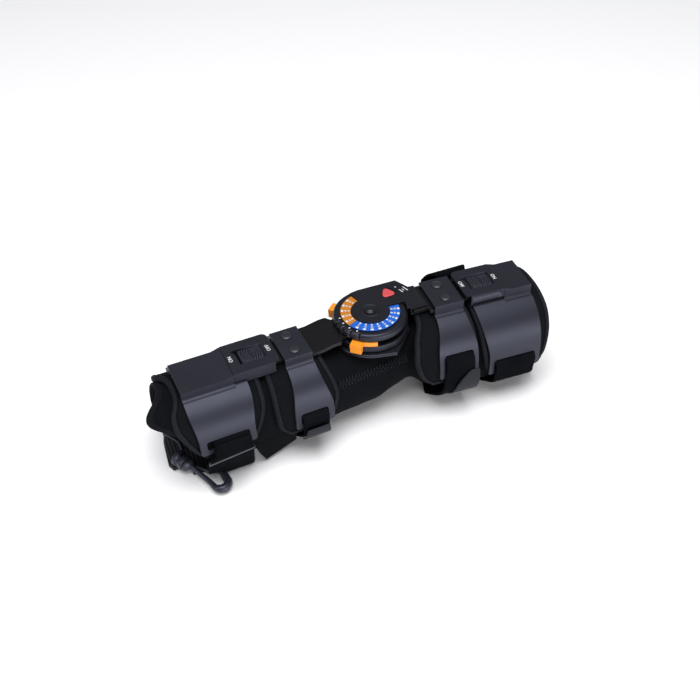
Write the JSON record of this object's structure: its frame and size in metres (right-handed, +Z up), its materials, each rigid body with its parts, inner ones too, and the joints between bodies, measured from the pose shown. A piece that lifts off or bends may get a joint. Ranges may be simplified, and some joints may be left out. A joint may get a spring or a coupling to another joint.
{
  "type": "elbow brace",
  "caption": "Hinged elbow brace: dial hinge with range stops on two flat bars, moulded cuffs over padded saddles, strapped round a cloth sleeve, with a snap hook.",
  "frame": {"origin": "centre of the brace's plan, on the floor it lies on", "axes": "+X along the brace to the upper-arm end, +Y to the back, +Z up through the dial"},
  "size_m": [0.3704, 0.1146, 0.106],
  "materials": {
    "cuff_plastic": "satin moulded",
    "housing_plastic": "fine matte grain",
    "hinge_plastic": "satin moulded",
    "orange_plastic": "moulded",
    "blue_print": "printed scale",
    "red_plastic": "moulded",
    "bar_metal": "black anodised",
    "rivet_metal": "dark plated",
    "knit_cloth": "knitted",
    "foam_cloth": "brushed cloth over foam",
    "strap_cloth": "looped pile",
    "hook_plastic": "satin moulded"
  },
  "bodies": {
    "brace": {"sleeve": "knit_cloth", "pad_left_inner": "foam_cloth", "cuff_left_inner": "cuff_plastic", "strap_left_inner": "strap_cloth", "rivet_left_back": "rivet_metal", "rivet_left_front": "rivet_metal", "pad_right_inner": "foam_cloth", "cuff_right_inner": "cuff_plastic", "strap_right_inner": "strap_cloth", "rivet_right_back": "rivet_metal", "rivet_right_front": "rivet_metal", "strap_end_left_inner": "strap_cloth", "strap_end_right_inner": "strap_cloth", "strap_fold_right": "strap_cloth", "forearm_bar": "bar_metal", "upper_arm_bar": "bar_metal", "hinge_base_plate": "hinge_plastic", "hinge_lower_disc": "hinge_plastic", "dial": "hinge_plastic", "hinge_cover": "hinge_plastic", "ring_orange": "orange_plastic", "ring_blue": "blue_print", "hinge_rivet": "rivet_metal"},
    "left_outer": {"cuff_left_outer": "cuff_plastic", "slider_housing_left": "housing_plastic", "pad_left_outer": "foam_cloth", "strap_left_outer": "strap_cloth", "strap_end_left_outer": "strap_cloth", "snap_hook": "hook_plastic", "hook_frame": "hook_plastic", "hook_webbing": "strap_cloth"},
    "right_outer": {"cuff_right_outer": "cuff_plastic", "slider_housing_right": "housing_plastic", "pad_right_outer": "foam_cloth", "strap_right_outer": "strap_cloth"},
    "slider_left": {"slider_button_left": "housing_plastic"},
    "slider_right": {"slider_button_right": "housing_plastic"},
    "lever_flexion": {"stop_lever_flexion": "orange_plastic"},
    "lever_extension": {"stop_lever_extension": "orange_plastic"},
    "lock": {"lock_button": "red_plastic"},
    "gate": {"hook_gate": "hook_plastic"}
  },
  "joints": [
    {"name": "left_length", "type": "slide", "parent": "brace", "child": "left_outer", "axis": [-0.9989, -0.0462, 0], "range_m": [0, 0.03]},
    {"name": "right_length", "type": "slide", "parent": "brace", "child": "right_outer", "axis": [0.9989, -0.0462, 0], "range_m": [0, 0.03]},
    {"name": "left_button", "type": "slide", "parent": "left_outer", "child": "slider_left", "axis": [-0.9989, -0.0462, 0], "range_m": [0, 0.0044]},
    {"name": "right_button", "type": "slide", "parent": "right_outer", "child": "slider_right", "axis": [-0.9989, 0.0462, 0], "range_m": [0, 0.0048]},
    {"name": "flexion_stop", "type": "hinge", "parent": "brace", "child": "lever_flexion", "pos_m": [0.02483, 0.00753, 0.0904], "axis": [0, 0, 1], "range_deg": [0, 60]},
    {"name": "extension_stop", "type": "hinge", "parent": "brace", "child": "lever_extension", "pos_m": [0.02483, 0.00753, 0.0904], "axis": [0, 0, -1], "range_deg": [0, 60]},
    {"name": "lock_slide", "type": "slide", "parent": "brace", "child": "lock", "axis": [0.8398, 0.543, 0], "range_m": [0, 0.003]},
    {"name": "hook_gate_hinge", "type": "hinge", "parent": "left_outer", "child": "gate", "pos_m": [-0.15307, -0.01947, 0.0056], "axis": [0, 0, -1], "range_deg": [0, 8], "stiffness_Nm_per_rad": 0.01, "springref_deg": -17.19}
  ]
}
